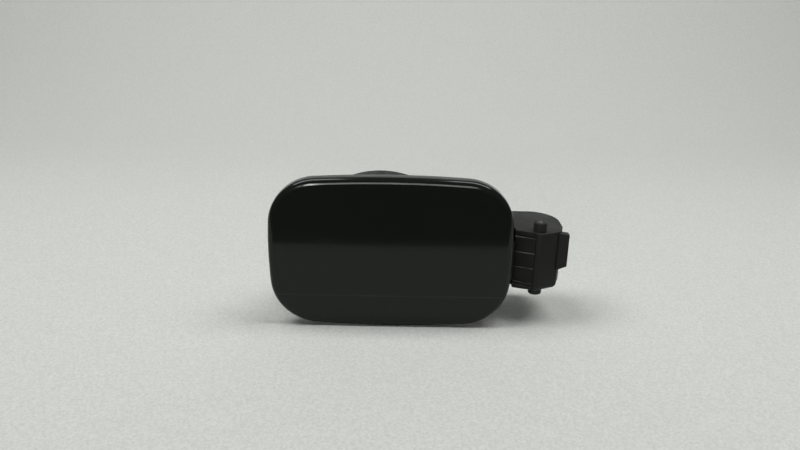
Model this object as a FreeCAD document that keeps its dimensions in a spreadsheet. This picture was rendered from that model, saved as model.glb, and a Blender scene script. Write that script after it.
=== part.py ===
import FreeCAD, Part
import os
import Sketcher
from FreeCAD import Placement, Rotation, Vector

# Fuel filler flap unit: a painted flap that swings on a steel pin in front of a moulded filler pocket.
# X points right, Y into the car and Z up. The origin is on the filler neck's axis at the bowl's floor.
# A depth is counted in +Y from the flap's front face.

SIZES = {
    # painted flap
    "flap_width": 180.0, "flap_height": 117.5, "flap_corner": 36.0, "flap_edge_round": 4.2,
    "level_bow": 900.0, "side_bow": 400.0,
    "flap_flange": 10.5, "flap_skin": 2.4, "flap_centre_x": 8.5,
    "crease_height": 24.0, "crease_step": 0.4, "crease_run": 3.0,
    # inner frame of the flap
    "frame_gap": 0.4, "frame_plate": 2.0, "frame_back": 10.2, "frame_rib": 2.0, "frame_rib_pitch": 30.0,
    "rail_inset": 42.0, "clip_drop": 10.5,
    "clip_radius": 3.0, "clip_head_radius": 5.0, "clip_head": 1.2,
    # bowl of the pocket
    "floor_depth": 48.0, "mouth_depth": 15.0, "bowl_half_width": 58.0, "bowl_half_height": 50.0,
    "wall": 2.5, "rim_width": 2.0, "seal_width": 3.2, "seal_gap": 0.3,
    "neck_radius": 30.0, "collar_wall": 3.6, "collar_flange": 4.0, "collar_lip": 2.5, "collar_length": 14.0,
    "drain_x": 20.0, "drain_depth": 38.0, "drain_radius": 5.0, "drain_bore": 3.2,
    "drain_collar": 7.5, "drain_shoulder": 0.6,
    "hook_height": 18.0, "hook_width": 10.0, "hook_reach": 3.5, "hook_length": 6.0, "hook_depth": 24.0,
    # hinge housing
    "weld_gap": 0.1,
    "pin_x": 119.4, "pin_depth": 16.7, "pin_radius": 2.0, "housing_top": 15.25, "housing_height": 46.9,
    "housing_right": 138.2, "housing_left": 88.5, "housing_back": 60.0, "housing_corner": 22.0,
    "housing_front": 22.3, "knuckle_radius": 8.7, "knuckle_wall": 3.5, "shoulder_x": 134.8,
    "shoulder_depth": 15.2, "cheek_depth": 25.4, "lip_x": 101.9, "lip_depth": 17.2, "lip_thick": 4.2,
    "block_left": 116.0, "block_step": 2.2, "rib_count": 4.0, "rib_pitch": 12.2, "rib_first_drop": 5.6,
    "rib_thick": 1.6, "rib_proud": 2.6, "rib_fade": 0.8, "edge_round": 2.0, "low_round": 5.0,
    "boss_radius": 5.0, "boss_height": 7.0, "foot_boss_height": 3.5,
    "lug_reach": 6.4, "lug_front": 13.5, "lug_thick": 6.0, "lug_drop": 1.0, "lug_height": 29.5,
    "lug_taper": 3.2,
    # hinge arm, pin and bushes
    "barrel_radius": 4.6, "band_inner": 19.0, "band_outer": 26.0, "web_angle": 66.0, "web_thick": 4.5,
    "arm_gap": 0.6, "pad_gap": 5.0, "pad_height": 30.0, "pad_thick": 4.5,
    "pin_fit": 0.02, "bush_fit": 0.05, "bush_wall": 1.0, "bush_length": 8.0, "bush_flange": 0.8,
    "bush_flange_radius": 4.2, "pin_proud": 0.4, "ring_radius": 4.2, "ring_thick": 0.8,
    "spring_thick": 0.6, "spring_width": 10.0, "spring_front": 16.2, "spring_foot": 22.6, "spring_gap": 0.3,
    "web_window": 14.0,
    # fasteners and small pieces
    "screw_radius": 2.0, "screw_fit": 0.1, "screw_head_radius": 4.0, "screw_head": 2.6, "screw_bite": 5.0,
    "washer_radius": 5.0, "washer_thick": 0.8, "screw_margin": 0.7, "screw_spread_z": 18.0,
    "bolt_bore": 4.5, "bolt_depth": 28.5, "grommet_wall": 2.6, "grommet_flange": 2.4, "grommet_lip": 2.0,
    "catch_gap": 4.0, "catch_thick": 5.0, "catch_height": 16.0, "catch_reach": 26.0, "catch_foot": 20.0,
    "holder_x": 6.0, "holder_z": 14.0, "holder_radius": 11.0, "holder_wall": 2.4, "holder_length": 11.0,
    "buffer_inset": 15.5, "buffer_drop": 25.75, "buffer_radius": 5.0, "buffer_tip": 3.5,
    "buffer_length": 4.5,
}

doc = FreeCAD.newDocument("fuel_flap_unit")
sheet = doc.addObject("Spreadsheet::Sheet", "sizes")
for row, (alias, number) in enumerate(SIZES.items(), start=1):
    sheet.set(f"A{row}", alias)
    sheet.set(f"B{row}", str(number))
    sheet.setAlias(f"B{row}", alias)
doc.recompute()


def value(rule):
    """The number that an expression of the sheet gives."""
    return float(sheet.evalExpression(rule))


def behind(depth):
    """The Y place of a depth behind the flap's front face."""
    return f"({depth}) - sizes.floor_depth"


def place(piece, x="0", y="0", z="0"):
    """Bind where a piece stands."""
    for axis, rule in zip("xyz", (x, y, z)):
        piece.setExpression("Placement.Base." + axis, rule)
    return piece


TURNS = {
    "X": Rotation(Vector(0, 1, 0), 90),
    "Y": Rotation(Vector(1, 0, 0), -90),
    "Z": Rotation(),
}


def cylinder(name, radius, length, at, along="Z"):
    """A round bar that starts at a place and runs along an axis."""
    bar = doc.addObject("Part::Cylinder", name)
    bar.setExpression("Radius", radius)
    bar.setExpression("Height", length)
    bar.Placement = Placement(Vector(), TURNS[along])
    return place(bar, *at)


def box(name, low, high):
    """A block between two corners."""
    block = doc.addObject("Part::Box", name)
    for side, start, end in zip(("Length", "Width", "Height"), low, high):
        block.setExpression(side, f"({end}) - ({start})")
    return place(block, *low)


def oval(name, half_width, half_height, start, end):
    """An oval bar along Y, centred on the filler neck's axis."""
    outline = doc.addObject("Part::Ellipse", name + "_outline")
    outline.setExpression("MajorRadius", f"max({half_width}; {half_height})")
    outline.setExpression("MinorRadius", f"min({half_width}; {half_height})")
    upright = value(half_height) > value(half_width)
    outline.Placement = Placement(Vector(), TURNS["Y"] * Rotation(Vector(0, 0, 1), 90 if upright else 0))
    place(outline, y=start)
    bar = doc.addObject("Part::Extrusion", name)
    bar.Base = outline
    bar.DirMode = "Custom"
    bar.Dir = Vector(0, 1, 0)
    bar.setExpression("LengthFwd", f"({end}) - ({start})")
    bar.Solid = True
    return bar


def rounded(name, base, chosen, radius):
    """A solid with the edges that a test chooses rounded."""
    doc.recompute()
    size = value(radius)
    smooth = doc.addObject("Part::Fillet", name)
    smooth.Base = base
    smooth.Edges = [(number, size, size) for number, edge in enumerate(base.Shape.Edges, start=1)
                    if chosen(edge)]
    return smooth


def fuse(name, pieces):
    """One solid of several that meet."""
    whole = doc.addObject("Part::MultiFuse", name)
    whole.Shapes = pieces
    whole.Refine = True
    return whole


def cut(name, base, tools):
    """A solid with others taken out of it."""
    rest = doc.addObject("Part::Cut", name)
    rest.Base = base
    rest.Tool = tools[0] if len(tools) == 1 else fuse(name + "_tools", tools)
    rest.Refine = True
    return rest


def group(name, pieces):
    """Separate solids that share one node."""
    bundle = doc.addObject("Part::Compound", name)
    bundle.Links = pieces
    return bundle


def origin_plane(body, role):
    """One of a body's own reference planes."""
    return next(item for item in body.Origin.OriginFeatures if item.Role == role)


def outline_sketch(body, name, role, corners, offset="0"):
    """A closed straight-sided outline whose corners are bound to the sheet."""
    sketch = body.newObject("Sketcher::SketchObject", name)
    sketch.AttachmentSupport = (origin_plane(body, role), [""])
    sketch.MapMode = "FlatFace"
    sketch.setExpression("AttachmentOffset.Base.z", offset)
    points = [Vector(value(across), value(up), 0) for across, up in corners]
    for start, end in zip(points, points[1:] + points[:1]):
        sketch.addGeometry(Part.LineSegment(start, end))
    for side, (across, up) in enumerate(corners):
        sketch.addConstraint(Sketcher.Constraint("Coincident", side, 2, (side + 1) % len(corners), 1))
        for kind, rule in (("DistanceX", across), ("DistanceY", up)):
            bound = sketch.addConstraint(Sketcher.Constraint(kind, -1, 1, side, 1, value(rule)))
            sketch.setExpression(f"Constraints[{bound}]", rule)
    return sketch


def pad(body, name, sketch, length, reverse=False):
    """A straight block grown from an outline."""
    block = body.newObject("PartDesign::Pad", name)
    block.Profile = sketch
    block.setExpression("Length", length)
    block.Reversed = reverse
    return block


def round_edges(body, name, base, chosen, radius):
    """Round the edges of the last feature that a test chooses."""
    doc.recompute()
    names = [f"Edge{number}" for number, edge in enumerate(base.Shape.Edges, start=1) if chosen(edge)]
    rounded = body.newObject("PartDesign::Fillet", name)
    rounded.Base = (base, names)
    rounded.setExpression("Radius", radius)
    return rounded


def runs_along(edge, axis):
    """Whether an edge is straight and parallel to an axis."""
    straight = edge.Curve.TypeId == "Part::GeomLine"
    return straight and abs(edge.tangentAt(edge.FirstParameter).dot(axis)) > 0.999


def flap_block(name, inset, start, length):
    """A block with the flap's bowed sides and rounded corners, drawn in by an inset, from a depth."""
    front = behind(start)
    discs = []
    for side in (-1, 1):
        level_centre = f"{side} * (sizes.flap_height / 2 - sizes.level_bow)"
        side_centre = f"sizes.flap_centre_x + {side} * (sizes.flap_width / 2 - sizes.side_bow)"
        discs.append(cylinder(f"{name}_level_{side + 1}", f"sizes.level_bow - ({inset})", length,
                              ("sizes.flap_centre_x", front, level_centre), "Y"))
        discs.append(cylinder(f"{name}_side_{side + 1}", f"sizes.side_bow - ({inset})", length,
                              (side_centre, front, "0"), "Y"))
    bowed = doc.addObject("Part::MultiCommon", name + "_bowed")
    bowed.Shapes = discs
    bowed.Refine = True
    return rounded(name, bowed, flap_corner_edge, f"sizes.flap_corner - ({inset})")


def flap_corner_edge(edge):
    """Whether an edge runs front to back above or below the flap's middle."""
    return runs_along(edge, Vector(0, 1, 0)) and abs(edge.BoundBox.Center.z) > value("sizes.flap_height / 4")


# Places that several pieces share, as expressions of the sheet
SKIN_BACK = "sizes.flap_skin + sizes.crease_step"
HOUSING_FOOT = "sizes.housing_top - sizes.housing_height"
PAD_FRONT = "sizes.pin_depth - sizes.pad_thick"
PAD_RIGHT = "sizes.flap_centre_x + sizes.flap_width / 2 - sizes.flap_skin - 3 * sizes.frame_gap"
PAD_MIDDLE = "sizes.housing_top - sizes.housing_height / 2"
COLLAR_OUTER = "sizes.neck_radius + sizes.collar_wall"
PAD_LEFT = "(sizes.bowl_half_width + sizes.rim_width + sizes.pad_gap)"
CATCH_LEFT = "(sizes.wall + sizes.catch_gap - sizes.bowl_half_width)"
BUFFER_X = "sizes.flap_centre_x - sizes.flap_width / 2 + sizes.buffer_inset"
CHEEK_SLOPE = "(sizes.housing_right - sizes.shoulder_x) / (sizes.cheek_depth - sizes.shoulder_depth)"
SPRING_SEAT = ("sizes.shoulder_x - sizes.wall - sizes.pin_fit + (sizes.spring_foot - sizes.spring_thick"
               f" - sizes.shoulder_depth - sizes.wall) * {CHEEK_SLOPE}")


def screw_places():
    """Where the four arm screws stand, as X and Z expressions."""
    left = f"{PAD_LEFT} + sizes.washer_radius + sizes.screw_margin"
    right = "sizes.pin_x - sizes.band_outer - sizes.washer_radius - sizes.screw_margin"
    return [(across, f"{PAD_MIDDLE} + {up} * sizes.screw_spread_z / 2")
            for across in (left, right) for up in (-1, 1)]


def clip_places():
    """Where the clips that hold the frame in the panel stand, as X and Z expressions."""
    rise = "(sizes.flap_height / 2 - sizes.clip_drop)"
    reach = "(sizes.flap_width / 2 - sizes.rail_inset)"
    corners = [(f"sizes.flap_centre_x + {across} * {reach}", f"{up} * {rise}")
               for across in (-1, 1) for up in (-1, 1)]
    return corners + [(BUFFER_X, "0")]


def catch_screw_places():
    """Where the two screws of the lock catch stand, as X and Z expressions."""
    foot_middle = f"{CATCH_LEFT} + sizes.catch_thick + sizes.catch_foot / 2"
    return [(foot_middle, f"{up} * sizes.catch_height / 4") for up in (-1, 1)]


# Painted outer panel: a shallow tray with a rolled front edge and a fine crease near its foot
def outer_panel():
    block = flap_block("panel_block", "0", "0", "sizes.flap_flange")
    face = behind("0")
    front = value(face)
    tray = rounded("panel_tray", block, lambda edge: edge.BoundBox.YMax < front + 0.001,
                   "sizes.flap_edge_round")
    foot = "sizes.crease_height - sizes.flap_height / 2"
    cutter = doc.addObject("PartDesign::Body", "crease_cutter")
    crease = outline_sketch(cutter, "crease_outline", "YZ_Plane", [
        (f"{face} - sizes.crease_step", f"{foot} - sizes.crease_run / 4"),
        (face, f"{foot} - sizes.crease_run / 4"),
        (behind("sizes.crease_step"), foot),
        (face, f"{foot} + sizes.crease_run"),
        (f"{face} - sizes.crease_step", f"{foot} + sizes.crease_run"),
    ], "sizes.flap_centre_x - sizes.flap_width")
    pad(cutter, "crease_bar", crease, "2 * sizes.flap_width")
    hollow = flap_block("panel_hollow", "sizes.flap_skin", SKIN_BACK, "sizes.flap_flange")
    return cut("outer_panel", tray, [cutter, hollow])


# Inner frame: a ribbed plate that carries the arm, the catch and the cap holder
def inner_frame():
    inset = "sizes.flap_skin + sizes.frame_gap"
    plate = flap_block("frame_block", inset, "sizes.frame_back - sizes.frame_plate", "sizes.frame_plate")
    front = behind(SKIN_BACK)
    back = behind("sizes.frame_back")
    ribs = []
    rib_rise = "sizes.flap_height / 2 - sizes.rail_inset"
    half_span = value("sizes.flap_width / 2 - sizes.rail_inset")
    pitch = value("sizes.frame_rib_pitch")
    steps = int(half_span // pitch)
    for step in range(-steps, steps + 1):
        middle = f"sizes.flap_centre_x + {step} * sizes.frame_rib_pitch"
        left, right = f"{middle} - sizes.frame_rib / 2", f"{middle} + sizes.frame_rib / 2"
        ribs.append(box(f"frame_rib_{step + steps}", (left, front, f"-({rib_rise})"),
                        (right, back, rib_rise)))
    for side in (-1, 1):
        level = f"{side} * ({rib_rise})"
        low, high = f"{level} - sizes.frame_rib / 2", f"{level} + sizes.frame_rib / 2"
        ribs.append(box(f"frame_rail_{side + 1}", (f"sizes.flap_centre_x - {half_span}", front, low),
                        (f"sizes.flap_centre_x + {half_span}", back, high)))
    arm_seat = box("arm_seat", (PAD_LEFT, front, f"{PAD_MIDDLE} - sizes.pad_height / 2"),
                   (PAD_RIGHT, behind(PAD_FRONT), f"{PAD_MIDDLE} + sizes.pad_height / 2"))
    solid = fuse("inner_frame_solid", [plate, arm_seat] + ribs)
    bite_radius = "sizes.screw_radius + sizes.screw_fit / 2"
    holes = [cylinder(f"seat_hole_{number}", bite_radius, "sizes.screw_bite",
                      (x, behind(f"{PAD_FRONT} - sizes.screw_bite"), z), "Y")
             for number, (x, z) in enumerate(screw_places())]
    holes += [cylinder(f"clip_hole_{number}", "sizes.clip_radius + sizes.screw_fit", "sizes.floor_depth",
                       (x, behind(SKIN_BACK), z), "Y") for number, (x, z) in enumerate(clip_places())]
    holes += [cylinder(f"catch_seat_{number}", bite_radius, "sizes.frame_plate",
                       (x, behind("sizes.frame_back - sizes.frame_plate"), z), "Y")
              for number, (x, z) in enumerate(catch_screw_places())]
    return cut("inner_frame", solid, holes)


# Hinge housing: a hollow moulding with a ribbed front, pin bosses, a locating lug and a web to the bowl
def housing_block():
    body = doc.addObject("PartDesign::Body", "housing_block")
    knuckle_front = "sizes.pin_depth - sizes.knuckle_radius"
    outline = [
        ("sizes.housing_left", behind("sizes.housing_front")),
        ("sizes.lip_x", behind("sizes.housing_front")),
        ("sizes.lip_x", behind("sizes.lip_depth")),
        ("sizes.block_left", behind(f"{knuckle_front} + sizes.block_step + sizes.rib_thick / 2")),
        ("sizes.block_left", behind(f"{knuckle_front} + sizes.rib_thick / 2")),
        ("sizes.pin_x", behind(knuckle_front)),
        ("sizes.shoulder_x", behind("sizes.shoulder_depth")),
        ("sizes.housing_right", behind("sizes.cheek_depth")),
        ("sizes.housing_right", behind("sizes.housing_back")),
        ("sizes.housing_left", behind("sizes.housing_back")),
    ]
    sketch = outline_sketch(body, "housing_outline", "XY_Plane", outline, HOUSING_FOOT)
    block = pad(body, "housing_pad", sketch, "sizes.housing_height")
    rounded = round_edges(body, "housing_back_corner", block, back_corner_edge, "sizes.housing_corner")
    softened = round_edges(body, "housing_front_corners", rounded, front_corner_edge, "sizes.edge_round")
    round_edges(body, "housing_low_round", softened, low_front_edge, "sizes.low_round")
    return body


def upright_at(edge, across, depth):
    """Whether an edge is upright and stands at a place."""
    middle = edge.BoundBox.Center
    return (runs_along(edge, Vector(0, 0, 1)) and abs(middle.x - value(across)) < 0.01
            and abs(middle.y - value(behind(depth))) < 0.01)


def back_corner_edge(edge):
    return upright_at(edge, "sizes.housing_right", "sizes.housing_back")


def front_corner_edge(edge):
    return (upright_at(edge, "sizes.shoulder_x", "sizes.shoulder_depth")
            or upright_at(edge, "sizes.pin_x", "sizes.pin_depth - sizes.knuckle_radius"))


def low_front_edge(edge):
    """Whether an edge is at the foot of the housing, to the right of the pin and in front of the cheek."""
    place_of = edge.BoundBox
    return (place_of.ZMax < value(HOUSING_FOOT) + 0.01 and place_of.Center.x > value("sizes.pin_x") + 1
            and place_of.YMax < value(behind("sizes.cheek_depth")) + 0.01)


def housing_hollow():
    body = doc.addObject("PartDesign::Body", "housing_hollow")
    knuckle_inner = "(sizes.knuckle_radius - sizes.knuckle_wall)"
    outline = [
        ("sizes.housing_left + sizes.wall", behind("sizes.housing_front - sizes.wall")),
        ("sizes.lip_x", behind("sizes.housing_front - sizes.wall")),
        ("sizes.lip_x", behind("sizes.lip_depth + sizes.lip_thick")),
        (f"sizes.pin_x - {knuckle_inner}", behind("sizes.pin_depth")),
        (f"sizes.pin_x + {knuckle_inner}", behind("sizes.pin_depth - sizes.wall / 2")),
        ("sizes.shoulder_x - sizes.wall", behind("sizes.shoulder_depth + sizes.wall")),
        ("sizes.housing_right - sizes.wall", behind("sizes.cheek_depth + sizes.wall")),
        ("sizes.housing_right - sizes.wall", behind("sizes.housing_back - sizes.wall")),
        ("sizes.housing_left + sizes.wall", behind("sizes.housing_back - sizes.wall")),
    ]
    sketch = outline_sketch(body, "hollow_plan", "XY_Plane", outline, f"{HOUSING_FOOT} + sizes.wall")
    block = pad(body, "hollow_pad", sketch, "sizes.housing_height - 2 * sizes.wall")
    round_edges(body, "hollow_back_corner", block, hollow_corner_edge, "sizes.housing_corner - sizes.wall")
    bore = cylinder("knuckle_bore", knuckle_inner, "sizes.housing_height - 2 * sizes.wall",
                    ("sizes.pin_x", behind("sizes.pin_depth"), f"{HOUSING_FOOT} + sizes.wall"))
    return [body, bore]


def hollow_corner_edge(edge):
    return upright_at(edge, "sizes.housing_right - sizes.wall", "sizes.housing_back - sizes.wall")


def rib_recesses():
    """The sunk bands between the ribs on the housing's front."""
    ribs = int(value("sizes.rib_count"))
    levels = ["sizes.housing_top - sizes.wall"]
    for rib in range(ribs):
        middle = f"sizes.housing_top - sizes.rib_first_drop - {rib} * sizes.rib_pitch"
        levels += [f"{middle} + sizes.rib_thick / 2", f"{middle} - sizes.rib_thick / 2"]
    levels.append(f"{HOUSING_FOOT} + sizes.wall")
    rib_end = "sizes.pin_depth - sizes.knuckle_radius + sizes.block_step + sizes.rib_thick / 2"
    bands = []
    for number, (high, low) in enumerate(zip(levels[::2], levels[1::2])):
        body = doc.addObject("PartDesign::Body", f"recess_{number}")
        sketch = outline_sketch(body, f"recess_outline_{number}", "XY_Plane", [
            ("sizes.lip_x - sizes.wall", behind("sizes.lip_depth - sizes.wall")),
            ("sizes.block_left", behind(f"{rib_end} - sizes.wall")),
            ("sizes.block_left", behind(f"{rib_end} + sizes.rib_fade")),
            ("sizes.lip_x - sizes.wall", behind("sizes.lip_depth + sizes.rib_proud")),
        ], low)
        pad(body, f"recess_pad_{number}", sketch, f"({high}) - ({low})")
        bands.append(body)
    return bands


def locating_lug():
    body = doc.addObject("PartDesign::Body", "locating_lug")
    top = "sizes.housing_top - sizes.lug_drop"
    root = "sizes.shoulder_x - sizes.wall / 2"
    tip = "sizes.shoulder_x + sizes.lug_reach"
    sketch = outline_sketch(body, "lug_outline", "XZ_Plane", [
        (root, f"{top} - sizes.lug_height"),
        (tip, f"{top} - sizes.lug_height + sizes.lug_taper"),
        (tip, f"{top} - sizes.lug_drop"),
        (root, top),
    ], f"-({behind('sizes.lug_front')})")
    pad(body, "lug_pad", sketch, "sizes.lug_thick", reverse=True)
    return body


def bridge():
    """The web and its two shelves between the bowl and the hinge housing."""
    left, right = "sizes.bowl_half_width - 8 * sizes.wall", "sizes.housing_left + sizes.wall / 2"
    front = behind("sizes.housing_front")
    floor = "0"
    high = "sizes.housing_top"
    return [
        box("bridge_web", (left, front, HOUSING_FOOT), (right, f"{front} + sizes.wall", high)),
        box("bridge_top_shelf", (left, front, f"{high} - sizes.wall"), (right, floor, high)),
        box("bridge_low_shelf", (left, front, HOUSING_FOOT), (right, floor, f"{HOUSING_FOOT} + sizes.wall")),
    ]


def hinge_housing():
    pin_y = behind("sizes.pin_depth")
    top_boss = cylinder("top_boss", "sizes.boss_radius", "sizes.boss_height",
                        ("sizes.pin_x", pin_y, "sizes.housing_top"))
    foot_boss = cylinder("foot_boss", "sizes.boss_radius", "sizes.foot_boss_height",
                         ("sizes.pin_x", pin_y, f"{HOUSING_FOOT} - sizes.foot_boss_height"))
    pin_hole = cylinder("pin_hole", "sizes.pin_radius + sizes.pin_fit", "2 * sizes.housing_height",
                        ("sizes.pin_x", pin_y, f"{HOUSING_FOOT} - sizes.housing_height / 2"))
    bowl_seat = oval("bowl_seat", "sizes.bowl_half_width + sizes.weld_gap",
                     "sizes.bowl_half_height + sizes.weld_gap", behind("sizes.mouth_depth"), "2 * sizes.wall")
    solids = [housing_block(), locating_lug(), top_boss, foot_boss] + bridge()
    hollows = [pin_hole, bowl_seat] + housing_hollow() + rib_recesses()
    return cut("hinge_housing", fuse("housing_solid", solids), hollows)


# Moulded filler pocket: an oval bowl with its rim, drain spout and snap hooks
def snap_hooks():
    hooks = []
    outer = "-sizes.bowl_half_width"
    for side in (-1, 1):
        body = doc.addObject("PartDesign::Body", f"snap_hook_{side + 1}")
        sketch = outline_sketch(body, f"hook_outline_{side + 1}", "XY_Plane", [
            (f"{outer} + 2 * sizes.hook_reach", behind("sizes.hook_depth")),
            (f"{outer} + 2 * sizes.hook_reach", behind("sizes.hook_depth + sizes.hook_length")),
            (outer, behind("sizes.hook_depth + sizes.hook_length")),
            (f"{outer} - sizes.hook_reach", behind("sizes.hook_depth")),
        ], f"{side} * sizes.hook_height - sizes.hook_width / 2")
        pad(body, f"hook_pad_{side + 1}", sketch, "sizes.hook_width")
        hooks.append(body)
    return hooks


def filler_pocket():
    mouth = behind("sizes.mouth_depth")
    floor_back = "sizes.wall"
    rest_level = "-sizes.flap_height / 2"
    spout_top = "-sizes.bowl_half_height + 2 * sizes.drain_radius"
    bowl = oval("bowl_outside", "sizes.bowl_half_width", "sizes.bowl_half_height", mouth, floor_back)
    rim = oval("bowl_rim", "sizes.bowl_half_width + sizes.rim_width",
               "sizes.bowl_half_height + sizes.rim_width", mouth, f"{mouth} + sizes.wall")
    drain_y = behind("sizes.drain_depth")
    spout = cylinder("drain_spout", "sizes.drain_radius", f"{spout_top} - ({rest_level})",
                     ("sizes.drain_x", drain_y, rest_level))
    shoulder = "-sizes.bowl_half_height - sizes.drain_shoulder"
    collar = cylinder("drain_collar", "sizes.drain_collar", f"{spout_top} - ({shoulder})",
                      ("sizes.drain_x", drain_y, shoulder))
    solids = [bowl, rim, spout, collar] + snap_hooks()
    bowl_hollow = oval("bowl_inside", "sizes.bowl_half_width - sizes.wall",
                       "sizes.bowl_half_height - sizes.wall", f"{mouth} - sizes.wall", "0")
    neck_hole = cylinder("neck_hole", f"{COLLAR_OUTER} + sizes.frame_gap", "3 * sizes.wall",
                         ("0", "-sizes.wall", "0"), "Y")
    spout_bore = cylinder("spout_bore", "sizes.drain_bore", f"{spout_top} - ({rest_level})",
                          ("sizes.drain_x", drain_y, rest_level))
    grommet_seat = "sizes.bolt_bore + sizes.grommet_wall + sizes.screw_fit"
    bolt_hole = cylinder("bolt_hole", grommet_seat, "6 * sizes.wall",
                         ("-sizes.bowl_half_width - 3 * sizes.wall", behind("sizes.bolt_depth"), "0"), "X")
    hollows = [bowl_hollow, neck_hole, spout_bore, bolt_hole]
    return cut("filler_pocket", fuse("pocket_solid", solids), hollows)


# Rubber seal on the bowl's rim and rubber collar round the filler neck
def mouth_seal():
    start, end = behind("sizes.frame_back + sizes.seal_gap"), behind("sizes.mouth_depth")
    wide, high = "sizes.bowl_half_width + sizes.rim_width", "sizes.bowl_half_height + sizes.rim_width"
    ring = oval("seal_outside", wide, high, start, end)
    middle = oval("seal_inside", f"{wide} - sizes.seal_width", f"{high} - sizes.seal_width",
                  f"{start} - sizes.wall", f"{end} + sizes.wall")
    return cut("mouth_seal", ring, [middle])


def neck_collar():
    flange = f"{COLLAR_OUTER} + sizes.collar_flange"
    inner_flange = cylinder("collar_flange", flange, "sizes.collar_lip", ("0", "-sizes.collar_lip", "0"), "Y")
    outer_flange = cylinder("collar_lip", flange, "sizes.collar_lip", ("0", "sizes.wall", "0"), "Y")
    tube = cylinder("collar_tube", COLLAR_OUTER, "sizes.collar_length", ("0", "-sizes.collar_lip", "0"), "Y")
    bore = cylinder("collar_bore", "sizes.neck_radius", "2 * sizes.collar_length",
                    ("0", "-sizes.collar_length / 2", "0"), "Y")
    return cut("neck_collar", fuse("collar_solid", [inner_flange, outer_flange, tube]), [bore])


# Swan-neck hinge arm with its barrel on the pin
ARM_FOOT = f"{HOUSING_FOOT} + sizes.wall + sizes.arm_gap + sizes.bush_flange"
ARM_HEIGHT = "sizes.housing_height - 2 * (sizes.wall + sizes.arm_gap + sizes.bush_flange)"


def about_pin(name, radius, length, start):
    """A round bar on the hinge axis."""
    return cylinder(name, radius, length, ("sizes.pin_x", behind("sizes.pin_depth"), start))


def swan_neck():
    """The curved band that passes round the housing's lip, from its web to the flap's side."""
    ring = about_pin("band_outside", "sizes.band_outer", ARM_HEIGHT, ARM_FOOT)
    ring.setExpression("Angle", "180 - sizes.web_angle")
    ring.Placement = Placement(ring.Placement.Base, Rotation(Vector(0, 0, 1), value("sizes.web_angle")))
    middle = about_pin("band_inside", "sizes.band_inner", ARM_HEIGHT, ARM_FOOT)
    return cut("swan_neck", ring, [middle])


def arm_webs():
    """The straight walls from the barrel out to the band, above and below the spring's window."""
    height = f"({ARM_HEIGHT} - sizes.web_window) / 2"
    aside = "sizes.web_thick * sin(sizes.web_angle * 1deg)"
    ahead = "sizes.web_thick * cos(sizes.web_angle * 1deg)"
    webs = []
    for name, foot in (("low_web", ARM_FOOT), ("top_web", f"{ARM_FOOT} + {height} + sizes.web_window")):
        web = doc.addObject("Part::Box", name)
        web.setExpression("Length", "sizes.band_outer - sizes.web_thick / 2")
        web.setExpression("Width", "sizes.web_thick")
        web.setExpression("Height", height)
        web.Placement = Placement(Vector(), Rotation(Vector(0, 0, 1), value("sizes.web_angle")))
        webs.append(place(web, f"sizes.pin_x + {aside}", f"{behind('sizes.pin_depth')} - {ahead}", foot))
    return webs


def hinge_arm():
    barrel = about_pin("arm_barrel", "sizes.barrel_radius", ARM_HEIGHT, ARM_FOOT)
    pad_low, pad_high = f"{PAD_MIDDLE} - sizes.pad_height / 2", f"{PAD_MIDDLE} + sizes.pad_height / 2"
    mount = box("arm_pad", (PAD_LEFT, behind(PAD_FRONT), pad_low),
                ("sizes.pin_x - sizes.band_inner", behind("sizes.pin_depth"), pad_high))
    solid = fuse("arm_solid", [barrel, swan_neck(), mount] + arm_webs())
    bush_outer = "sizes.pin_radius + sizes.bush_fit + sizes.bush_wall + sizes.pin_fit"
    holes = [
        about_pin("arm_bore", "sizes.pin_radius + sizes.bush_wall / 2", "2 * sizes.housing_height",
                  f"{HOUSING_FOOT} - sizes.housing_height / 2"),
        about_pin("low_bush_seat", bush_outer, "sizes.bush_length", ARM_FOOT),
        about_pin("top_bush_seat", bush_outer, "sizes.bush_length",
                  f"{ARM_FOOT} + {ARM_HEIGHT} - sizes.bush_length"),
    ]
    holes += [cylinder(f"pad_hole_{number}", "sizes.screw_radius + sizes.screw_fit", "3 * sizes.pad_thick",
                       (x, behind(f"{PAD_FRONT} - sizes.pad_thick"), z), "Y")
              for number, (x, z) in enumerate(screw_places())]
    return cut("hinge_arm", solid, holes)


def bush(name, flange_start, sleeve_start):
    """A flanged plain bearing between the arm and the pin."""
    outer = "sizes.pin_radius + sizes.bush_fit + sizes.bush_wall"
    sleeve = about_pin(name + "_sleeve", outer, "sizes.bush_length", sleeve_start)
    flange = about_pin(name + "_flange", "sizes.bush_flange_radius", "sizes.bush_flange", flange_start)
    bore = about_pin(name + "_bore", "sizes.pin_radius + sizes.bush_fit", "2 * sizes.housing_height",
                     f"{HOUSING_FOOT} - sizes.housing_height / 2")
    return cut(name, fuse(name + "_solid", [sleeve, flange]), [bore])


# Steel pin, its retaining ring and the leaf spring that holds the flap where it is put
def hinge_pin():
    foot = f"{HOUSING_FOOT} - sizes.foot_boss_height - 2 * sizes.ring_thick"
    top = "sizes.housing_top + sizes.boss_height + sizes.pin_proud"
    bar = about_pin("pin_bar", "sizes.pin_radius", f"{top} - ({foot})", foot)
    doc.recompute()
    pin = doc.addObject("Part::Chamfer", "hinge_pin")
    pin.Base = bar
    bevel = value("sizes.pin_proud")
    pin.Edges = [(number, bevel, bevel) for number, edge in enumerate(bar.Shape.Edges, start=1)
                 if not runs_along(edge, Vector(0, 0, 1))]
    return pin


def retaining_ring():
    start = f"{HOUSING_FOOT} - sizes.foot_boss_height - sizes.ring_thick"
    disc = about_pin("ring_disc", "sizes.ring_radius", "sizes.ring_thick", start)
    hole = about_pin("ring_hole", "sizes.pin_radius + sizes.pin_fit", "3 * sizes.ring_thick",
                     f"{start} - sizes.ring_thick")
    return cut("retaining_ring", disc, [hole])


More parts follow.
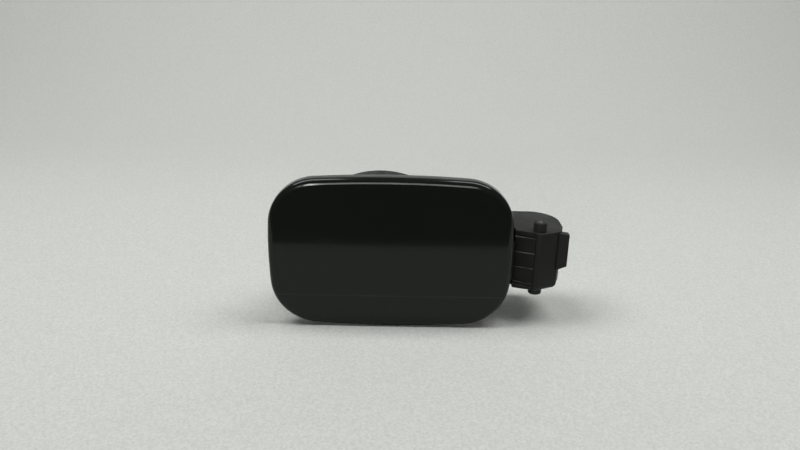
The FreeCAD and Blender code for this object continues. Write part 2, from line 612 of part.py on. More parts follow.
def leaf_spring():
    left = "sizes.pin_x + sizes.barrel_radius + sizes.spring_gap"
    low, high = f"{PAD_MIDDLE} - sizes.spring_width / 2", f"{PAD_MIDDLE} + sizes.spring_width / 2"
    foot = behind("sizes.spring_foot")
    blade = box("spring_blade", (left, behind("sizes.spring_front"), low),
                (f"{left} + sizes.spring_thick", foot, high))
    shelf = box("spring_shelf", (left, f"{foot} - sizes.spring_thick", low), (SPRING_SEAT, foot, high))
    return fuse("leaf_spring", [blade, shelf])


# Fasteners of the flap
def screws(name, places, head_start, bite):
    """Pan-head screws that point forward from a depth."""
    bars = []
    for number, (x, z) in enumerate(places):
        head = cylinder(f"{name}_head_{number}", "sizes.screw_head_radius", "sizes.screw_head",
                        (x, behind(head_start), z), "Y")
        shank = cylinder(f"{name}_shank_{number}", "sizes.screw_radius", bite,
                         (x, behind(f"{head_start} - ({bite})"), z), "Y")
        bars.append(fuse(f"{name}_{number}", [head, shank]))
    return group(name, bars)


def arm_washers():
    rings = []
    for number, (x, z) in enumerate(screw_places()):
        disc = cylinder(f"washer_disc_{number}", "sizes.washer_radius", "sizes.washer_thick",
                        (x, behind("sizes.pin_depth"), z), "Y")
        hole = cylinder(f"washer_hole_{number}", "sizes.screw_radius + sizes.screw_fit",
                        "3 * sizes.washer_thick", (x, behind("sizes.pin_depth - sizes.washer_thick"), z), "Y")
        rings.append(cut(f"washer_{number}", disc, [hole]))
    return group("arm_washers", rings)


def panel_clips():
    studs = []
    for number, (x, z) in enumerate(clip_places()):
        stud = cylinder(f"clip_stud_{number}", "sizes.clip_radius", f"sizes.frame_back - ({SKIN_BACK})",
                        (x, behind(SKIN_BACK), z), "Y")
        head = cylinder(f"clip_head_{number}", "sizes.clip_head_radius", "sizes.clip_head",
                        (x, behind("sizes.frame_back"), z), "Y")
        studs.append(fuse(f"clip_{number}", [stud, head]))
    return group("panel_clips", studs)


# Pieces on the back of the flap: lock catch, cap holder and rubber buffers
FRAME_BACK = behind("sizes.frame_back")


def lock_catch():
    low, high = "-sizes.catch_height / 2", "sizes.catch_height / 2"
    right = f"{CATCH_LEFT} + sizes.catch_thick"
    blade = box("catch_blade", (CATCH_LEFT, FRAME_BACK, low),
                (right, f"{FRAME_BACK} + sizes.catch_reach", high))
    foot = box("catch_foot", (CATCH_LEFT, FRAME_BACK, low),
               (f"{right} + sizes.catch_foot", f"{FRAME_BACK} + sizes.wall", high))
    eye = cylinder("catch_eye", "sizes.bolt_bore + sizes.arm_gap", "3 * sizes.catch_thick",
                   (f"{CATCH_LEFT} - sizes.catch_thick", behind("sizes.bolt_depth"), "0"), "X")
    holes = [cylinder(f"catch_hole_{number}", "sizes.screw_radius + sizes.screw_fit", "3 * sizes.wall",
                      (x, f"{FRAME_BACK} - sizes.wall", z), "Y")
             for number, (x, z) in enumerate(catch_screw_places())]
    return cut("lock_catch", fuse("catch_solid", [blade, foot]), [eye] + holes)


def cap_holder():
    """An open collar that the filler cap hangs in while the tank is filled."""
    left, right = "sizes.holder_x - sizes.holder_radius / 2", "sizes.holder_x + sizes.holder_radius / 2"
    floor = f"{FRAME_BACK} + sizes.wall"
    ring = cylinder("holder_ring", "sizes.holder_radius", "sizes.holder_length",
                    ("sizes.holder_x", FRAME_BACK, "sizes.holder_z"), "Y")
    middle = cylinder("holder_middle", "sizes.holder_radius - sizes.holder_wall", "2 * sizes.holder_length",
                      ("sizes.holder_x", floor, "sizes.holder_z"), "Y")
    slot = box("holder_slot", (left, floor, "sizes.holder_z"),
               (right, f"{FRAME_BACK} + 2 * sizes.holder_length", "sizes.holder_z + 2 * sizes.holder_radius"))
    return cut("cap_holder", ring, [middle, slot])


def flap_buffers():
    feet = []
    for up in (-1, 1):
        foot = doc.addObject("Part::Cone", f"buffer_{up + 1}")
        foot.setExpression("Radius1", "sizes.buffer_radius")
        foot.setExpression("Radius2", "sizes.buffer_tip")
        foot.setExpression("Height", "sizes.buffer_length")
        foot.Placement = Placement(Vector(), TURNS["Y"])
        level = f"{up} * (sizes.flap_height / 2 - sizes.buffer_drop)"
        feet.append(place(foot, BUFFER_X, FRAME_BACK, level))
    return group("flap_buffers", feet)


# Rubber grommet in the bowl's left wall, where the lock bolt comes in
def lock_grommet():
    wall_out, depth = "-sizes.bowl_half_width", behind("sizes.bolt_depth")
    outer = "sizes.bolt_bore + sizes.grommet_wall"
    start = f"{wall_out} - 2 * sizes.grommet_lip"
    length = "sizes.wall + 3 * sizes.grommet_lip"
    tube = cylinder("grommet_tube", outer, length, (start, depth, "0"), "X")
    flange = cylinder("grommet_flange", f"{outer} + sizes.grommet_flange", "sizes.grommet_lip",
                      (f"{wall_out} - sizes.grommet_lip", depth, "0"), "X")
    bore = cylinder("grommet_bore", "sizes.bolt_bore", f"2 * ({length})",
                    (f"{start} - sizes.wall", depth, "0"), "X")
    return cut("lock_grommet", fuse("grommet_solid", [tube, flange]), [bore])


SUB_PARTS = [
    outer_panel(), inner_frame(), panel_clips(), lock_catch(), cap_holder(), flap_buffers(),
    hinge_arm(),
    bush("upper_bush", f"{ARM_FOOT} + {ARM_HEIGHT}", f"{ARM_FOOT} + {ARM_HEIGHT} - sizes.bush_length"),
    bush("lower_bush", f"{ARM_FOOT} - sizes.bush_flange", ARM_FOOT),
    screws("arm_screws", screw_places(), "sizes.pin_depth + sizes.washer_thick",
           "sizes.pad_thick + sizes.washer_thick + sizes.screw_bite - sizes.screw_fit"),
    arm_washers(),
    screws("catch_screws", catch_screw_places(), "sizes.frame_back + sizes.wall",
           "sizes.wall + sizes.frame_plate"),
    filler_pocket(), hinge_housing(), mouth_seal(), neck_collar(), lock_grommet(),
    hinge_pin(), retaining_ring(), leaf_spring(),
]
doc.recompute()

for item in doc.Objects:
    if "Invalid" in item.State or "Error" in item.State:
        raise RuntimeError(f"{item.Name} did not build: {item.State}")
for piece in SUB_PARTS:
    if piece.Shape.isNull() or not piece.Shape.isValid():
        raise RuntimeError(f"{piece.Name} has no valid solid")

os.makedirs("parts", exist_ok=True)
for piece in SUB_PARTS:
    piece.Label = piece.Name
    piece.Shape.exportStep(f"parts/{piece.Label}.step")
    print(piece.Label, len(piece.Shape.Solids), round(piece.Shape.Volume, 1), piece.Shape.BoundBox)
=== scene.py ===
import math
import bmesh
import bpy
from mathutils import Matrix, Vector


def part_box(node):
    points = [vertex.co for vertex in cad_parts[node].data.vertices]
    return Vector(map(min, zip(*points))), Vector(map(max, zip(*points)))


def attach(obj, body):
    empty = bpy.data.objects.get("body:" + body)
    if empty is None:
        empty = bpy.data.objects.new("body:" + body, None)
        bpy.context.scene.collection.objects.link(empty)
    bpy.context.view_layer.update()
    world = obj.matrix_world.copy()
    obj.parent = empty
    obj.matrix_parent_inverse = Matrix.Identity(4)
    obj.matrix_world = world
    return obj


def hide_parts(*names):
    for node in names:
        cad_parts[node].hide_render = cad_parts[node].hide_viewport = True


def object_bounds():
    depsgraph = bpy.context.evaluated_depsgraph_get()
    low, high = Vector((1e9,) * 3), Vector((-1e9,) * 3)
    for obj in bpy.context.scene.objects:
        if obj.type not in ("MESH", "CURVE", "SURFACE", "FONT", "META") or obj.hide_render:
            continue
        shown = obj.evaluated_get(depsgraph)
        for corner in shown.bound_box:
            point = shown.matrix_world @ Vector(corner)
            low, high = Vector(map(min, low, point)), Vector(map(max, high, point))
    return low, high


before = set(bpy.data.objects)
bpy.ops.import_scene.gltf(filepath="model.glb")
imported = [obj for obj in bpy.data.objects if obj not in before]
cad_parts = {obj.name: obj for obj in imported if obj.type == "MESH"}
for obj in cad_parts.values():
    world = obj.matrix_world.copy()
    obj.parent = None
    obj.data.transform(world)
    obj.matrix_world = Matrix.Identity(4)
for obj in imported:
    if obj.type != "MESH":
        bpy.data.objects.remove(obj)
cad_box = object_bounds()

# Sizes in metres
MM = 0.001
PANEL_LOW, PANEL_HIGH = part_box("outer_panel")
FLAP_CORNER = 36 * MM
LEVEL_BOW = 900 * MM
SIDE_BOW = 400 * MM
FLAP_ROLL = 4.2 * MM
FLAP_SKIN = 2.4 * MM
FLAP_HEM = 0.5 * MM
FLAP_CROWN = 0.5 * MM
INNER_DEPTH = 1.2 * FLAP_SKIN
EDGE_FACET = 1.2 * MM
EDGE_TILT = math.radians(15)
EDGE_SEAM = 0.08 * MM
CREASE_HEIGHT = 24 * MM
# How far above the crease the painted highlight line lies
CREASE_HIGHLIGHT_LIFT = 2.0 * MM
CREASE_WIDTH = 0.7 * MM
FOOT_DUST_TOP = -26 * MM
FOOT_DUST_FULL = -54 * MM
LEDGE_DROP = 10 * MM
LEDGE_FADE = 1 * MM
SOFT_EDGE = 0.35 * MM
WELD_DISTANCE = 0.002 * MM
FLAT_ANGLE = math.radians(1)
SHARP_ANGLE = math.radians(35)

# Camera, fitted to the photograph's 800 by 450 frame
FOCAL_PIXELS = 700.0
IMAGE_WIDTH = 800.0
SENSOR_MM = 36.0
CAMERA_PLACE = Vector((15.1, -518.2, 201.9)) * MM
CAMERA_PITCH = math.radians(20.7)
CAMERA_ROLL = math.radians(1.0)


# Material helpers
def start_material(name, color, roughness, specular=0.5, metallic=0.0):
    """A principled material with its even values set on the shader."""
    made = bpy.data.materials.new(name)
    made.use_nodes = True
    tree = made.node_tree
    shader = tree.nodes["Principled BSDF"]
    shader.inputs["Base Color"].default_value = (*color, 1.0)
    shader.inputs["Roughness"].default_value = roughness
    shader.inputs["Specular IOR Level"].default_value = specular
    shader.inputs["Metallic"].default_value = metallic
    return made, tree, shader


def coordinates(tree):
    """The place on the object, in metres."""
    return tree.nodes.new("ShaderNodeTexCoord").outputs["Object"]


def noise(tree, scale, detail=4.0, stretch=(1.0, 1.0, 1.0)):
    """Soft random variation; scale is in cycles a metre."""
    mapping = tree.nodes.new("ShaderNodeMapping")
    mapping.inputs["Scale"].default_value = stretch
    tree.links.new(coordinates(tree), mapping.inputs["Vector"])
    pattern = tree.nodes.new("ShaderNodeTexNoise")
    pattern.inputs["Scale"].default_value = scale
    pattern.inputs["Detail"].default_value = detail
    tree.links.new(mapping.outputs["Vector"], pattern.inputs["Vector"])
    return pattern.outputs["Fac"]


def mapped(tree, source, low_in, high_in, low_out, high_out):
    """A value moved from one range to another, and held inside it."""
    change = tree.nodes.new("ShaderNodeMapRange")
    change.inputs["From Min"].default_value = low_in
    change.inputs["From Max"].default_value = high_in
    change.inputs["To Min"].default_value = low_out
    change.inputs["To Max"].default_value = high_out
    tree.links.new(source, change.inputs["Value"])
    return change.outputs["Result"]


def tinted(tree, source, dark, light):
    """A colour between two, by a value from 0 to 1."""
    mix = tree.nodes.new("ShaderNodeMix")
    mix.data_type = "RGBA"
    mix.inputs["A"].default_value = (*dark, 1.0)
    mix.inputs["B"].default_value = (*light, 1.0)
    tree.links.new(source, mix.inputs["Factor"])
    return mix.outputs["Result"]


def covered(tree, source, under, color):
    """A colour laid over another, by a value from 0 to 1."""
    mix = tree.nodes.new("ShaderNodeMix")
    mix.data_type = "RGBA"
    mix.inputs["B"].default_value = (*color, 1.0)
    tree.links.new(under, mix.inputs["A"])
    tree.links.new(source, mix.inputs["Factor"])
    return mix.outputs["Result"]


def arithmetic(tree, operation, first, second):
    """A sum, product or the like of a socket and a socket or number."""
    step = tree.nodes.new("ShaderNodeMath")
    step.operation = operation
    tree.links.new(first, step.inputs[0])
    if isinstance(second, (int, float)):
        step.inputs[1].default_value = second
    else:
        tree.links.new(second, step.inputs[1])
    return step.outputs["Value"]


def bumped(tree, shader, height, distance, strength=1.0):
    """Fine relief on the surface; distance is its height in metres."""
    relief = tree.nodes.new("ShaderNodeBump")
    relief.inputs["Strength"].default_value = strength
    relief.inputs["Distance"].default_value = distance
    tree.links.new(height, relief.inputs["Height"])
    tree.links.new(relief.outputs["Normal"], shader.inputs["Normal"])


def specks(tree, scale, size):
    """Small scattered dots, 1 inside a dot and 0 outside."""
    cells = tree.nodes.new("ShaderNodeTexVoronoi")
    cells.inputs["Scale"].default_value = scale
    tree.links.new(coordinates(tree), cells.inputs["Vector"])
    return mapped(tree, cells.outputs["Distance"], size, size * 0.6, 0.0, 1.0)


# Materials
# Pale colour painted on the upward faces of low ledges: painted light that makes their tops look lit
LEDGE_PAINTED_LIGHT = (0.28, 0.282, 0.268)
HOUSING_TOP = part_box("hinge_housing")[1].z


def gloss_paint():
    """Black paint under clear lacquer, with wiping haze, dust near the foot and a painted highlight line
    along the crease.
    """
    black = (0.0098, 0.0118, 0.0099)
    made, tree, shader = start_material("gloss_black_paint", black, 0.1, specular=0.25)
    haze = noise(tree, 38.0, 6.0, (1.0, 1.0, 2.4))
    tree.links.new(mapped(tree, haze, 0.42, 0.75, 0.09, 0.13), shader.inputs["Roughness"])
    dots = specks(tree, 620.0, 0.16)
    patches = mapped(tree, noise(tree, 55.0, 3.0), 0.56, 0.72, 0.0, 1.0)
    height = tree.nodes.new("ShaderNodeSeparateXYZ")
    tree.links.new(coordinates(tree), height.inputs["Vector"])
    level = height.outputs["Z"]
    foot = mapped(tree, level, FOOT_DUST_TOP, FOOT_DUST_FULL, 0.0, 1.0)
    dust = arithmetic(tree, "MULTIPLY", arithmetic(tree, "MULTIPLY", dots, patches), foot)
    # Painted highlight: a thin lighter line just above the crease, where the crease catches the light
    line = PANEL_LOW.z + CREASE_HEIGHT + CREASE_HIGHLIGHT_LIFT
    below = mapped(tree, level, line - CREASE_WIDTH, line, 0.0, 1.0)
    above = mapped(tree, level, line, line + CREASE_WIDTH, 1.0, 0.0)
    uneven = mapped(tree, noise(tree, 30.0, 4.0), 0.3, 0.7, 0.15, 0.45)
    crease_highlight = arithmetic(tree, "MULTIPLY", arithmetic(tree, "MINIMUM", below, above), uneven)
    dust_and_crease_highlight = arithmetic(tree, "MAXIMUM", dust, crease_highlight)
    # One pale colour serves both the dust near the foot and the painted crease highlight
    tree.links.new(tinted(tree, dust_and_crease_highlight, black, (0.050, 0.052, 0.047)), shader.inputs["Base Color"])
    bumped(tree, shader, noise(tree, 420.0, 2.0), 0.000004, 0.35)
    return made


def moulded_plastic(name, dark, light, rough=(0.45, 0.65), painted_light_below=None):
    """Fine grained black moulding, dusty on its upward faces; upward faces of ledges under a given height are
    painted pale, as if lit.
    """
    made, tree, shader = start_material(name, dark, rough[0], specular=0.16)
    fine = noise(tree, 2600.0, 3.0)
    broad = noise(tree, 60.0, 5.0)
    surface = tree.nodes.new("ShaderNodeNewGeometry")
    facing = tree.nodes.new("ShaderNodeSeparateXYZ")
    tree.links.new(surface.outputs["Normal"], facing.inputs["Vector"])
    settled = mapped(tree, facing.outputs["Z"], 0.3, 0.9, 0.0, 1.0)
    patchy = mapped(tree, broad, 0.3, 0.7, 0.6, 1.0)
    dust = arithmetic(tree, "MULTIPLY", settled, patchy)
    cloud = mapped(tree, broad, 0.35, 0.75, 0.0, 0.25)
    edges = mapped(tree, surface.outputs["Pointiness"], 0.51, 0.58, 0.0, 0.3)
    mixed = arithmetic(tree, "MAXIMUM", arithmetic(tree, "MAXIMUM", cloud, edges), dust)
    color = tinted(tree, mixed, dark, light)
    if painted_light_below:
        place = tree.nodes.new("ShaderNodeSeparateXYZ")
        tree.links.new(coordinates(tree), place.inputs["Vector"])
        # Painted light: upward faces under the given height take the pale ledge colour, as if lit
        ledge_zone = mapped(tree, place.outputs["Z"], painted_light_below, painted_light_below - LEDGE_FADE, 0.0, 1.0)
        color = covered(tree, arithmetic(tree, "MULTIPLY", dust, ledge_zone), color, LEDGE_PAINTED_LIGHT)
    tree.links.new(color, shader.inputs["Base Color"])
    tree.links.new(mapped(tree, broad, 0.3, 0.7, rough[0], rough[1]), shader.inputs["Roughness"])
    bumped(tree, shader, fine, 0.00004, 0.6)
    return made


def soft_rubber():
    """Matt black rubber with a slight bloom."""
    made, tree, shader = start_material("soft_rubber", (0.016, 0.016, 0.016), 0.75, specular=0.3)
    bloom = mapped(tree, noise(tree, 90.0, 5.0), 0.4, 0.75, 0.0, 1.0)
    color = tinted(tree, bloom, (0.012, 0.012, 0.012), (0.034, 0.034, 0.033))
    tree.links.new(color, shader.inputs["Base Color"])
    bumped(tree, shader, noise(tree, 1800.0, 2.0), 0.00005, 0.5)
    return made


def plated_steel(name, color, rough):
    """Bright plated steel with fine turning marks."""
    made, tree, shader = start_material(name, color, rough, metallic=1.0)
    marks = noise(tree, 700.0, 3.0, (1.0, 1.0, 6.0))
    tree.links.new(mapped(tree, marks, 0.3, 0.7, rough * 0.7, rough * 1.4), shader.inputs["Roughness"])
    stain = mapped(tree, noise(tree, 160.0, 4.0), 0.45, 0.8, 0.0, 1.0)
    dull = tuple(part * 0.62 for part in color)
    tree.links.new(tinted(tree, stain, color, dull), shader.inputs["Base Color"])
    bumped(tree, shader, marks, 0.00001, 0.5)
    return made


def pale_nylon():
    """Natural nylon of clips and bushes, slightly yellowed."""
    made, tree, shader = start_material("pale_nylon", (0.6, 0.58, 0.52), 0.45, specular=0.4)
    shader.inputs["Subsurface Weight"].default_value = 0.15
    shader.inputs["Subsurface Radius"].default_value = (0.002, 0.0016, 0.001)
    tone = mapped(tree, noise(tree, 200.0, 3.0), 0.3, 0.7, 0.0, 1.0)
    tree.links.new(tinted(tree, tone, (0.52, 0.50, 0.44), (0.68, 0.66, 0.60)), shader.inputs["Base Color"])
    bumped(tree, shader, noise(tree, 900.0, 2.0), 0.00002, 0.4)
    return made


PAINT = gloss_paint()
POCKET_PLASTIC = moulded_plastic("pocket_plastic", (0.0105, 0.011, 0.0102), (0.024, 0.025, 0.023))
# The housing's rib ledges get the painted light
HOUSING_PLASTIC = moulded_plastic("housing_plastic", (0.0165, 0.017, 0.016), (0.026, 0.027, 0.025),
                                  painted_light_below=HOUSING_TOP - LEDGE_DROP)
ARM_PLASTIC = moulded_plastic("arm_plastic", (0.018, 0.018, 0.018), (0.045, 0.045, 0.045), rough=(0.3, 0.5))
RUBBER = soft_rubber()
STEEL = plated_steel("plated_steel", (0.60, 0.60, 0.57), 0.28)
PIN_STEEL = plated_steel("dark_pin_steel", (0.13, 0.13, 0.125), 0.42)
SPRING = plated_steel("spring_steel", (0.42, 0.43, 0.46), 0.22)
NYLON = pale_nylon()

NODE_MATERIALS = {
    "outer_panel": PAINT, "inner_frame": POCKET_PLASTIC, "panel_clips": NYLON, "lock_catch": ARM_PLASTIC,
    "cap_holder": ARM_PLASTIC, "flap_buffers": RUBBER, "hinge_arm": ARM_PLASTIC, "upper_bush": NYLON,
    "lower_bush": NYLON, "arm_screws": STEEL, "arm_washers": STEEL, "catch_screws": STEEL,
    "filler_pocket": POCKET_PLASTIC, "hinge_housing": HOUSING_PLASTIC, "mouth_seal": RUBBER,
    "neck_collar": RUBBER, "lock_grommet": RUBBER, "hinge_pin": PIN_STEEL, "retaining_ring": STEEL,
    "leaf_spring": SPRING,
}


def dress(target, made):
    """Give a mesh one material."""
    target.data.materials.clear()
    target.data.materials.append(made)


for node, made in NODE_MATERIALS.items():
    dress(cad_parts[node], made)


def new_piece(name, mesh_work, body, made, *nodes):
    """Turn a mesh in work into a piece that rides a body and stands for CAD nodes."""
    mesh = bpy.data.meshes.new(name)
    mesh_work.to_mesh(mesh)
    mesh_work.free()
    piece = bpy.data.objects.new(name, mesh)
    bpy.context.scene.collection.objects.link(piece)
    dress(piece, made)
    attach(piece, body)
    if nodes:
        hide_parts(*nodes)
    return piece


# Painted panel: rings that follow the bowed outline, rolled back over its edge into the flange
HALF_WIDTH = (PANEL_HIGH.x - PANEL_LOW.x) / 2
HALF_HEIGHT = (PANEL_HIGH.z - PANEL_LOW.z) / 2


def corner_centre():
    """Where the round of the upper right corner is centred, counted from the panel's middle."""
    aside, above = HALF_WIDTH - SIDE_BOW, HALF_HEIGHT - LEVEL_BOW
    level, side = LEVEL_BOW - FLAP_CORNER, SIDE_BOW - FLAP_CORNER
    apart = math.hypot(aside, above)
    along = (level * level - side * side + apart * apart) / (2 * apart)
    off = math.sqrt(level * level - along * along)
    across, up = aside / apart, -above / apart
    return along * across + off * up, above + along * up - off * across


def panel_outline():
    """Points of the panel's outline with their outward directions, clockwise from its top middle."""
    centre_x, centre_z = corner_centre()
    top_end = math.atan2(centre_x, centre_z - HALF_HEIGHT + LEVEL_BOW)
    side_end = math.atan2(centre_x - HALF_WIDTH + SIDE_BOW, centre_z)
    arcs = [(0.0, HALF_HEIGHT - LEVEL_BOW, LEVEL_BOW, 0.0, top_end, 14),
            (centre_x, centre_z, FLAP_CORNER, top_end, side_end, 26),
            (HALF_WIDTH - SIDE_BOW, 0.0, SIDE_BOW, side_end, math.pi / 2, 8)]
    quarter = [(0.0, HALF_HEIGHT, 0.0, 1.0)]
    for x, z, radius, start, end, steps in arcs:
        for step in range(1, steps + 1):
            turn = start + (end - start) * step / steps
            aside, above = math.sin(turn), math.cos(turn)
            quarter.append((x + radius * aside, z + radius * above, aside, above))
    right = quarter + [(x, -z, aside, -above) for x, z, aside, above in reversed(quarter[:-1])]
    left = [(-x, z, -aside, above) for x, z, aside, above in reversed(right[1:-1])]
    return right + left


def face_depth(x, z):
    """How far the slightly crowned face lies behind its foremost point."""
    return FLAP_CROWN * ((x / HALF_WIDTH) ** 2 + (z / HALF_HEIGHT) ** 2) / 2


def edge_stops():
    """Steps outward and back over the panel's edge: a narrow tilted facet, then a round roll."""
    facet = [(along * math.cos(EDGE_TILT), along * math.sin(EDGE_TILT))
             for along in (EDGE_SEAM, EDGE_FACET - EDGE_SEAM, EDGE_FACET)]
    start_out, start_depth = facet[-1]
    radius = (FLAP_ROLL - start_out) / (1 - math.sin(EDGE_TILT))
    turns = [math.radians(turn) for turn in range(20, 91, 10)]
    roll = [(start_out + radius * (math.sin(turn) - math.sin(EDGE_TILT)),
             start_depth + radius * (math.cos(EDGE_TILT) - math.cos(turn))) for turn in turns]
    return facet + roll


def painted_panel():
    """The panel's outer face, edge, flange and inner face as one closed skin."""
    work = bmesh.new()
    middle_x = (PANEL_LOW.x + PANEL_HIGH.x) / 2
    outline = panel_outline()

    def vertex(x, z, depth):
        return work.verts.new((middle_x + x, PANEL_LOW.y + depth, z))

    def join(inner, outer):
        for step in range(len(outline)):
            after = (step + 1) % len(outline)
            work.faces.new((inner[step], outer[step], outer[after], inner[after]))

    flat = [(x - FLAP_ROLL * aside, z - FLAP_ROLL * above) for x, z, aside, above in outline]
    middle = vertex(0.0, 0.0, 0.0)
    ring = None
    for share in (0.1, 0.3, 0.5, 0.7, 0.85, 0.95, 1.0):
        following = [vertex(share * x, share * z, face_depth(share * x, share * z)) for x, z in flat]
        if ring:
            join(ring, following)
        else:
            for step in range(len(outline)):
                work.faces.new((middle, following[step], following[(step + 1) % len(outline)]))
        ring = following

    flange = PANEL_HIGH.y - PANEL_LOW.y
    inside = FLAP_ROLL - FLAP_SKIN
    stops = edge_stops()
    stops += [(FLAP_ROLL, flange - FLAP_HEM), (FLAP_ROLL - FLAP_HEM, flange), (inside + FLAP_HEM, flange),
              (inside, flange - FLAP_HEM), (inside, INNER_DEPTH)]
    for out, depth in stops:
        following = []
        for (x, z), (_, _, aside, above) in zip(flat, outline):
            sunk = face_depth(x, z) if depth < flange / 2 else 0.0
            following.append(vertex(x + out * aside, z + out * above, depth + sunk))
        join(ring, following)
        ring = following
    work.faces.new(ring)
    bmesh.ops.recalc_face_normals(work, faces=work.faces)
    for side in work.faces:
        side.smooth = True
    piece = new_piece("painted_panel", work, "flap", PAINT, "outer_panel")
    shading = piece.modifiers.new("even_shading", "WEIGHTED_NORMAL")
    shading.mode = "FACE_AREA"


painted_panel()


# Softened copies of the hard-edged mouldings
def softened(node, body):
    """A copy of a CAD node whose sharp edges are slightly rounded, as moulded edges are."""
    work = bmesh.new()
    work.from_mesh(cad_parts[node].data)
    bmesh.ops.remove_doubles(work, verts=work.verts, dist=WELD_DISTANCE)
    bmesh.ops.dissolve_limit(work, angle_limit=FLAT_ANGLE, verts=work.verts, edges=work.edges)
    for side in work.faces:
        side.smooth = True
    piece = new_piece("soft_" + node, work, body, NODE_MATERIALS[node], node)
    bevel = piece.modifiers.new("rounded_edges", "BEVEL")
    bevel.width = SOFT_EDGE
    bevel.segments = 2
    bevel.limit_method = "ANGLE"
    bevel.angle_limit = SHARP_ANGLE
    bevel.harden_normals = True


softened("filler_pocket", "pocket")
softened("hinge_housing", "pocket")
softened("hinge_arm", "flap")
softened("inner_frame", "flap")


# Floor that sweeps up into a backdrop behind the object
FLOOR_LEVEL = cad_box[0].z
FLOOR_REACH = 10.0
SWEEP_START = 0.45
SWEEP_RADIUS = 0.5
FADE_START = 1.25
FADE_END = 2.2
ROOM_TONE = 0.5
ROOM_PALE = (0.98, 1.0, 0.96)
ROOM_DIM = (0.05, 0.051, 0.05)


def seen_directly(tree):
    """1 where the camera looks at it without a mirror between, otherwise 0."""
    return tree.nodes.new("ShaderNodeLightPath").outputs["Is Camera Ray"]


def floor_paper():
    """Pale paper with a fine grain that stays pale to the camera far from the lights."""
    made, tree, shader = start_material("pale_paper", (0.60, 0.61, 0.585), 0.95, specular=0.1)
    grain = mapped(tree, noise(tree, 620.0, 3.0), 0.3, 0.7, 0.0, 1.0)
    color = tinted(tree, grain, (0.545, 0.557, 0.532), (0.660, 0.672, 0.645))
    tree.links.new(color, shader.inputs["Base Color"])
    distance = tree.nodes.new("ShaderNodeVectorMath")
    distance.operation = "LENGTH"
    tree.links.new(coordinates(tree), distance.inputs[0])
    far = mapped(tree, distance.outputs["Value"], FADE_START, FADE_END, 0.0, ROOM_TONE)
    shader.inputs["Emission Color"].default_value = (*ROOM_PALE, 1.0)
    tree.links.new(arithmetic(tree, "MULTIPLY", far, seen_directly(tree)), shader.inputs["Emission Strength"])
    return made


def backdrop():
    """One sheet: the floor, a round sweep and the upright part behind."""
    work = bmesh.new()
    profile = [(-FLOOR_REACH, 0.0), (SWEEP_START, 0.0)]
    profile += [(SWEEP_START + SWEEP_RADIUS * math.sin(math.radians(turn)),
                 SWEEP_RADIUS * (1 - math.cos(math.radians(turn)))) for turn in range(5, 91, 5)]
    profile.append((SWEEP_START + SWEEP_RADIUS, FLOOR_REACH))
    sides = [[work.verts.new((x, y, FLOOR_LEVEL + z)) for y, z in profile]
             for x in (-FLOOR_REACH, FLOOR_REACH)]
    for step in range(len(profile) - 1):
        side = work.faces.new((sides[0][step], sides[1][step], sides[1][step + 1], sides[0][step + 1]))
        side.smooth = True
    mesh = bpy.data.meshes.new("backdrop")
    work.to_mesh(mesh)
    work.free()
    sheet = bpy.data.objects.new("backdrop", mesh)
    bpy.context.scene.collection.objects.link(sheet)
    dress(sheet, floor_paper())


backdrop()


# A dark sheet in front of the table, out of the camera's sight, paints a dark reflection that gives the paint
# its dark upper half
REFLECTION_SHEET_START = 0.161
REFLECTION_SHEET_LIFT = 1 * MM


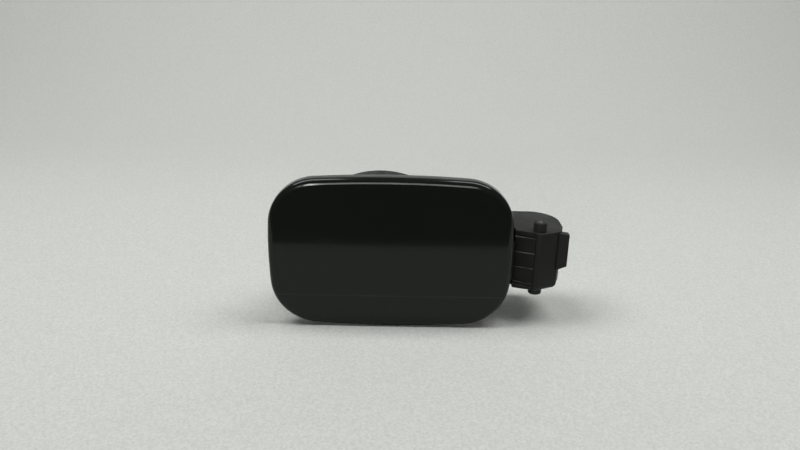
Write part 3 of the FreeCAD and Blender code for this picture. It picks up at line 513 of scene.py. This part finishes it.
def dark_reflection_sheet():
    """A dull black sheet just above the floor that shows only in reflections, as a painted dark reflection.
    """
    made, tree, shader = start_material("dark_reflection_sheet", (0.02, 0.02, 0.02), 1.0, specular=0.0)
    # Painted reflection: the sheet's uneven dark tone is seen only mirrored in the paint
    tree.links.new(tinted(tree, noise(tree, 9.0, 4.0), (0.004, 0.004, 0.004), (0.045, 0.046, 0.044)),
                   shader.inputs["Base Color"])
    near = PANEL_LOW.y - REFLECTION_SHEET_START
    level = FLOOR_LEVEL + REFLECTION_SHEET_LIFT
    mesh = bpy.data.meshes.new("dark_reflection_sheet")
    corners = [(-FLOOR_REACH, near, level), (FLOOR_REACH, near, level),
               (FLOOR_REACH, -FLOOR_REACH, level), (-FLOOR_REACH, -FLOOR_REACH, level)]
    mesh.from_pydata(corners, [], [(0, 1, 2, 3)])
    reflection_sheet = bpy.data.objects.new("dark_reflection_sheet", mesh)
    bpy.context.scene.collection.objects.link(reflection_sheet)
    dress(reflection_sheet, made)
    reflection_sheet.visible_camera = False
    reflection_sheet.visible_diffuse = False
    reflection_sheet.visible_shadow = False


dark_reflection_sheet()


# Light: two soft boxes at the sides, two dim strips far in front and a dim room
BOX_SIZE = (0.5, 0.9)
BOX_AIM = (0.02, 0.0, 0.0)
STRIP_AIM = (0.0, 0.0, 0.05)


def soft_box(name, place, size, power, aim):
    """An evenly lit rectangle that faces a given place."""
    lamp = bpy.data.lights.new(name, "AREA")
    lamp.shape = "RECTANGLE"
    lamp.size, lamp.size_y = size
    lamp.energy = power
    holder = bpy.data.objects.new(name, lamp)
    holder.location = place
    holder.rotation_mode = "QUATERNION"
    holder.rotation_quaternion = (Vector(aim) - Vector(place)).to_track_quat("-Z", "Y")
    bpy.context.scene.collection.objects.link(holder)


soft_box("left_box", (-0.62, -0.05, 1.3), BOX_SIZE, 11.6, BOX_AIM)
soft_box("right_box", (0.64, -0.05, 1.3), BOX_SIZE, 11.4, BOX_AIM)
soft_box("corner_strip", (-0.8, -2.5, 0.63), (0.7, 0.12), 8.0, STRIP_AIM)
soft_box("front_strip", (0.0, -2.5, 0.63), (1.5, 0.12), 5.0, STRIP_AIM)

world = bpy.data.worlds.new("room")
world.use_nodes = True
room = world.node_tree
pale = tuple(ROOM_TONE * part for part in ROOM_PALE)
room.links.new(tinted(room, seen_directly(room), ROOM_DIM, pale), room.nodes["Background"].inputs["Color"])
bpy.context.scene.world = world


# Camera
camera_data = bpy.data.cameras.new("camera")
camera_data.sensor_width = SENSOR_MM
camera_data.lens = FOCAL_PIXELS / IMAGE_WIDTH * SENSOR_MM
camera = bpy.data.objects.new("camera", camera_data)
turned = Matrix.Rotation(math.pi / 2 - CAMERA_PITCH, 4, "X") @ Matrix.Rotation(CAMERA_ROLL, 4, "Z")
camera.matrix_world = Matrix.Translation(CAMERA_PLACE) @ turned
bpy.context.scene.collection.objects.link(camera)
bpy.context.scene.camera = camera
bpy.context.scene.view_settings.view_transform = "Standard"
